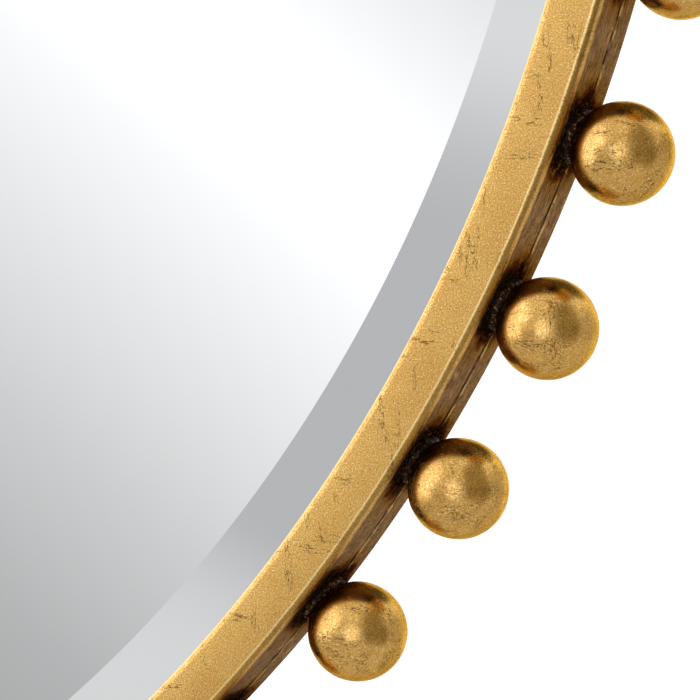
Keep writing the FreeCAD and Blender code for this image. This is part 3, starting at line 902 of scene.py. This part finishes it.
# Soft patches of light and shade all round, in degrees: the turn and height of each one's centre (turn 0 is
# straight in front of the mirror, and grows to the right), the angle from there up to which it is full, the
# angle at which it is gone; then its brightness and cast
STUDIO_PATCHES = (
    ("white wall behind", 180, 0, 62, 92, 1.20, PLAIN),
    ("high light in front", 0, 62, 22, 48, 0.95, PLAIN),
    ("right-hand wall", 124, 0, 12, 40, 0.58, PLAIN),
    ("dark screen on the right", 68, 0, 20, 38, 0.24, WARM),
    ("its upper part", 66, 30, 16, 34, 0.34, WARM),
    ("its lower part", 64, -28, 14, 32, 0.36, WARM),
    ("open front", 8, 2, 13, 25, 1.50, COOL),
    ("left-hand softbox", -60, 16, 27, 42, 1.85, COOL),
    ("open left", -110, 0, 15, 40, 1.0, PLAIN),
    ("dark corner above and behind", 180, 55, 22, 36, 0.10, WARM),
)
# Surroundings before any patch is laid
STUDIO_GREY = (0.66, 0.66, 0.66, 1)
# Patch in which the glass sees the studio's slope: turn, height, where it is full and where it is gone
SLOPE_PATCH = (-25, -3, 13, 22)
# Patches laid over that slope, in the way of the studio's patches
GLASS_PATCHES = (
    ("screen below the camera", -15.5, -9, 4.5, 11, 0.49, BLUISH),
    ("pale floor before the mirror", -24, -20, 4, 9, 0.70, PLAIN),
)

# Studio slope, seen in the glass: the axis along which the light falls off, the stretch of it that the stops
# cover, and each stop's place on that stretch with its brightness
SLOPE_AXIS = (-0.571, 0.266, -0.776)
SLOPE_RANGE = (-0.563, 0.637)
SLOPE_STOPS = (
    (0.05, 0.60), (0.30, 0.64), (0.39, 0.84), (0.44, 1.08), (0.474, 1.12), (0.49, 1.02), (0.53, 0.85),
    (0.56, 0.73), (0.58, 0.645), (0.63, 0.48), (0.66, 0.43), (0.85, 0.36),
)


def aim(turn_deg, height_deg):
    """Return the direction with a turn from straight in front of the mirror and a height above the level."""
    turn, height = math.radians(turn_deg), math.radians(height_deg)
    return Vector((math.sin(turn) * math.cos(height), -math.cos(turn) * math.cos(height), math.sin(height)))


def patch(tree, direction, turn_deg, height_deg, full_deg, gone_deg):
    """Return 1 inside a round patch of the surroundings and 0 outside it."""
    inputs = {0: direction, 1: aim(turn_deg, height_deg)}
    toward = add_node(tree, "ShaderNodeVectorMath", inputs, operation="DOT_PRODUCT")
    full, gone = math.cos(math.radians(full_deg)), math.cos(math.radians(gone_deg))
    return fade(tree, toward.outputs["Value"], gone, full)


def lay_patches(tree, direction, light, patches):
    """Lay soft patches over the light that is already there, and return the result."""
    for _, turn, height, full, gone, brightness, cast in patches:
        share = patch(tree, direction, turn, height, full, gone)
        light = mix_colour(tree, share, light, tuple(brightness * part for part in cast) + (1,))
    return light


def slope_light(tree, direction):
    """Return the brightness of the slope of light that shows in the glass."""
    slope = add_node(tree, "ShaderNodeVectorMath", {0: direction, 1: SLOPE_AXIS}, operation="DOT_PRODUCT")
    scale = {"Value": slope.outputs["Value"], "From Min": SLOPE_RANGE[0], "From Max": SLOPE_RANGE[1]}
    share = add_node(tree, "ShaderNodeMapRange", scale).outputs[0]
    ramp = add_node(tree, "ShaderNodeValToRGB", {"Fac": share})
    stops = ramp.color_ramp.elements
    stops[0].position, stops[1].position = SLOPE_STOPS[0][0], SLOPE_STOPS[-1][0]
    for position, value in SLOPE_STOPS[1:-1]:
        stops.new(position)
    for stop, (_, value) in zip(stops, SLOPE_STOPS):
        stop.color = (value, value, value, 1)
    return ramp.outputs[0]


def light_studio():
    """Light the scene from all round: white behind the mirror, a soft grey slope in front of it."""
    world = bpy.data.worlds.new("studio")
    bpy.context.scene.world = world
    world.use_nodes = True
    tree = world.node_tree
    tree.nodes.clear()
    direction = add_node(tree, "ShaderNodeTexCoord").outputs["Generated"]
    light = lay_patches(tree, direction, STUDIO_GREY, STUDIO_PATCHES)
    light = mix_colour(tree, patch(tree, direction, *SLOPE_PATCH), light, slope_light(tree, direction))
    light = lay_patches(tree, direction, light, GLASS_PATCHES)
    background = add_node(tree, "ShaderNodeBackground", {"Color": light, "Strength": 1.0})
    add_node(tree, "ShaderNodeOutputWorld", {"Surface": background.outputs[0]})


# The camera's frame width, which its lens is measured against, and the nearest distance that it sees
SENSOR_WIDTH_MM = 36
NEAREST_SEEN = 0.01


def camera_turn(yaw, pitch, hang):
    """Return the camera's turn from its yaw and pitch, and from how far the mirror seems to hang turned."""
    forward = Vector((math.sin(yaw) * math.cos(pitch), math.cos(yaw) * math.cos(pitch), math.sin(pitch)))
    right = Vector((math.cos(yaw), -math.sin(yaw), 0))
    up = right.cross(forward)
    turn = Matrix((right, up, -forward)).transposed()
    return Matrix.Rotation(-hang, 3, Vector((0, 1, 0))) @ turn


class MIRROR_OT_stage(bpy.types.Operator):
    """Set the floor, the studio's light and the camera"""

    bl_idname = "mirror.stage"
    bl_label = "Stage"

    def execute(self, context):
        chosen = settings().stage
        deselect()
        bpy.ops.mesh.primitive_plane_add(size=chosen.floor_width, location=(0, 0, -chosen.floor_drop))
        floor = active_piece("floor")
        settle(floor)
        give(floor, stage_material())
        light_studio()
        bpy.ops.object.camera_add()
        camera = bpy.context.object
        camera.data.lens = chosen.lens
        camera.data.sensor_width = SENSOR_WIDTH_MM
        camera.data.clip_start = NEAREST_SEEN
        place = Matrix.Rotation(-chosen.hang, 3, Vector((0, 1, 0))) @ Vector(chosen.camera_place)
        turn = camera_turn(chosen.yaw, chosen.pitch, chosen.hang)
        camera.matrix_world = Matrix.Translation(place) @ turn.to_4x4()
        context.scene.camera = camera
        context.scene.view_settings.view_transform = "Standard"
        return {"FINISHED"}


class GiltMirrorSettings(bpy.types.PropertyGroup):
    """All settings of the mirror."""

    ring: bpy.props.PointerProperty(type=RingSizes)
    balls: bpy.props.PointerProperty(type=BallSizes)
    glass: bpy.props.PointerProperty(type=GlassSizes)
    colours: bpy.props.PointerProperty(type=FinishColours)
    stage: bpy.props.PointerProperty(type=StageSettings)


OPERATORS = (
    MIRROR_OT_frame_ring, MIRROR_OT_balls, MIRROR_OT_welds, MIRROR_OT_glass, MIRROR_OT_back, MIRROR_OT_stage,
)


class MIRROR_PT_panel(bpy.types.Panel):
    """List the steps that build the mirror"""

    bl_idname = "MIRROR_PT_panel"
    bl_label = "Gilt ball mirror"
    bl_space_type = "VIEW_3D"
    bl_region_type = "UI"
    bl_category = "Mirror"

    def draw(self, context):
        for operator in OPERATORS:
            self.layout.operator(operator.bl_idname)


CLASSES = (
    RingSizes, BallSizes, GlassSizes, FinishColours, StageSettings, GiltMirrorSettings,
) + OPERATORS + (MIRROR_PT_panel,)


def register():
    """Register the classes and the settings."""
    for item in CLASSES:
        bpy.utils.register_class(item)
    bpy.types.Scene.gilt_mirror = bpy.props.PointerProperty(type=GiltMirrorSettings)


def unregister():
    """Remove the settings and the classes."""
    del bpy.types.Scene.gilt_mirror
    for item in reversed(CLASSES):
        bpy.utils.unregister_class(item)


def main():
    """Build everything."""
    register()
    bpy.ops.mirror.frame_ring()
    bpy.ops.mirror.balls()
    bpy.ops.mirror.welds()
    bpy.ops.mirror.glass()
    bpy.ops.mirror.back()
    bpy.ops.mirror.stage()


if __name__ == "__main__":
    main()
